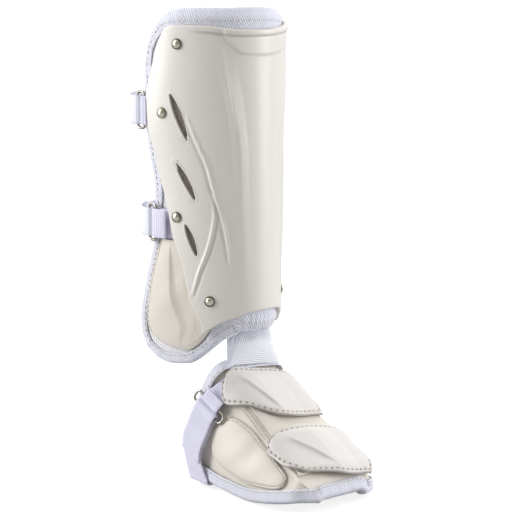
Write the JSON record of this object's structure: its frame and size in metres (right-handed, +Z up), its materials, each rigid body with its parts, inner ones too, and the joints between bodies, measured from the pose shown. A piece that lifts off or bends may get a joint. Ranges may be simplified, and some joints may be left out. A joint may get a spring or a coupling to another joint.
{
  "type": "batters leg guard",
  "caption": "Leg guard for a batter: a moulded shin shell on a bound pad with an ankle lobe, calf straps, and a plated foot guard hanging from an elastic link.",
  "frame": {"origin": "on the axis of the leg, 262 mm above the sole of the foot guard, where the leg goes through the shin guard", "axes": "+Z up along the shin, -Y to the front over the toes, +X to the outer side of the left leg, so the ankle lobe is on -X"},
  "size_m": [0.1348, 0.2247, 0.4139],
  "materials": {
    "shell": "off-white moulded synthetic leather, smooth and semi-gloss",
    "pad": "white padded knit lining",
    "binding": "white woven binding tape",
    "leather": "cream synthetic leather over thin padding",
    "webbing": "white ribbed webbing",
    "elastic": "white ribbed elastic",
    "steel": "plain steel wire",
    "rivet": "polished domed rivet"
  },
  "bodies": {
    "root": {"shin_shell": "shell", "rivet_top_inner": "rivet", "rivet_upper_inner": "rivet", "rivet_lower_inner": "rivet", "rivet_ankle_inner": "rivet", "rivet_top_outer": "rivet", "rivet_upper_outer": "rivet", "rivet_lower_outer": "rivet", "rivet_ankle_outer": "rivet", "shin_pad": "pad", "shin_binding": "binding", "ankle_panel": "leather", "strap_upper": "webbing", "strap_ring_upper_inner": "steel", "strap_ring_upper_outer": "steel", "ring_tab_upper_inner": "webbing", "ring_tab_upper_outer": "webbing", "strap_lower": "webbing", "strap_ring_lower_inner": "steel", "strap_ring_lower_outer": "steel", "ring_tab_lower_inner": "webbing", "ring_tab_lower_outer": "webbing", "foot_pad": "pad", "foot_binding": "binding", "instep_panel": "leather", "foot_plate_upper": "shell", "foot_plate_lower": "shell", "foot_side_panel": "leather", "foot_strap": "webbing", "foot_strap_ring_inner": "steel", "foot_strap_tab_inner": "webbing", "foot_strap_ring_outer": "steel", "foot_strap_tab_outer": "webbing", "elastic_link": "elastic"}
  },
  "joints": []
}
